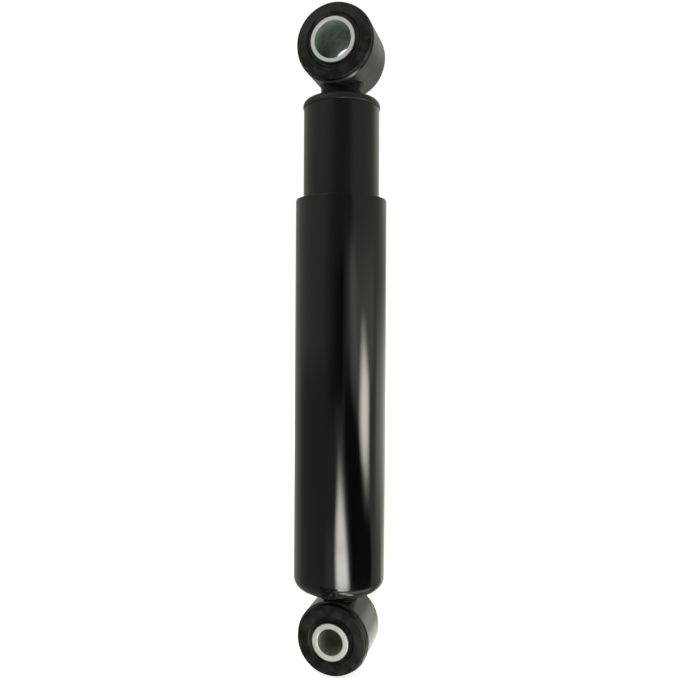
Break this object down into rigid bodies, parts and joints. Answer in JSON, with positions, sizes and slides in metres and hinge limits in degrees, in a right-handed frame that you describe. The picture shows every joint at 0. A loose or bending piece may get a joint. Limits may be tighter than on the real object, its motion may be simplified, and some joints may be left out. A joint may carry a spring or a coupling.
{
  "type": "shock absorber",
  "caption": "Twin-tube hydraulic shock absorber with rubber-bushed eyes at both ends and a long tubular dust shield that telescopes over the damper tube.",
  "frame": {"origin": "centre of the lower eye's bore, at the rod end", "axes": "+Z along the damper's axis to the upper eye, +Y along both eye bores, +X to the right"},
  "size_m": [0.0508, 0.0508, 0.3659],
  "materials": {
    "gloss_black": "gloss",
    "satin_black": "satin",
    "painted_weld": "satin",
    "rubber": "matte",
    "zinc_steel": "satin",
    "hard_chrome": "polished",
    "bright_steel": "satin",
    "spring_steel": "satin",
    "sintered_iron": "matte",
    "bearing_bronze": "satin",
    "fluoropolymer": "matte"
  },
  "bodies": {
    "rod": {"rod_eye_ring": "satin_black", "rod_eye_bush": "rubber", "rod_eye_weld": "painted_weld", "dust_shield": "gloss_black", "shield_retainer": "bright_steel", "piston_rod": "hard_chrome", "rebound_stop": "bright_steel", "rebound_bumper": "rubber", "intake_stop_washer": "bright_steel", "intake_spring": "spring_steel", "piston": "sintered_iron", "rebound_spring": "spring_steel", "piston_nut": "bright_steel"},
    "rod_sleeve": {"rod_eye_sleeve": "zinc_steel"},
    "band": {"piston_band": "fluoropolymer"},
    "intake_valve": {"intake_plate": "spring_steel"},
    "rebound_valve": {"rebound_disc_1": "spring_steel", "rebound_disc_2": "spring_steel", "rebound_disc_3": "spring_steel", "rebound_disc_4": "spring_steel", "rebound_seat": "bright_steel"},
    "cylinder": {"reservoir_tube": "satin_black", "base_cap": "satin_black", "base_eye_weld": "painted_weld", "base_eye_ring": "satin_black", "base_eye_bush": "rubber", "pressure_tube": "bright_steel", "seal_cover": "bright_steel", "rod_seal": "rubber", "garter_spring": "spring_steel", "rod_guide": "sintered_iron", "guide_bush": "bearing_bronze", "foot_valve_body": "sintered_iron", "foot_valve_bolt": "bright_steel", "foot_valve_nut": "bright_steel", "compression_disc_1": "spring_steel", "compression_disc_2": "spring_steel", "compression_disc_3": "spring_steel", "compression_disc_4": "spring_steel", "foot_check_spring": "spring_steel"},
    "base_sleeve": {"base_eye_sleeve": "zinc_steel"},
    "foot_check": {"foot_check_plate": "spring_steel"}
  },
  "joints": [
    {"name": "rod_swivel", "type": "hinge", "parent": "rod", "child": "band", "pos_m": [0, 0, 0.23605], "axis": [0, 0, 1], "continuous": true},
    {"name": "stroke", "type": "slide", "parent": "band", "child": "cylinder", "axis": [0, 0, 1], "range_m": [-0.01, 0.14]},
    {"name": "lower_bush_twist", "type": "hinge", "parent": "rod", "child": "rod_sleeve", "pos_m": [0, 0, 0], "axis": [0, 1, 0], "range_deg": [-20, 20], "stiffness_Nm_per_rad": 40},
    {"name": "upper_bush_twist", "type": "hinge", "parent": "cylinder", "child": "base_sleeve", "pos_m": [0, 0, 0.324], "axis": [0, 1, 0], "range_deg": [-20, 20], "stiffness_Nm_per_rad": 50},
    {"name": "intake_lift", "type": "slide", "parent": "rod", "child": "intake_valve", "axis": [0, 0, -1], "range_m": [0, 0.001], "stiffness_N_per_m": 1500, "deforming": ["intake_spring"]},
    {"name": "rebound_lift", "type": "slide", "parent": "rod", "child": "rebound_valve", "axis": [0, 0, 1], "range_m": [0, 0.0015], "stiffness_N_per_m": 20000, "deforming": ["rebound_spring"]},
    {"name": "foot_check_lift", "type": "slide", "parent": "cylinder", "child": "foot_check", "axis": [0, 0, -1], "range_m": [0, 0.001], "stiffness_N_per_m": 1500, "deforming": ["foot_check_spring"]}
  ]
}
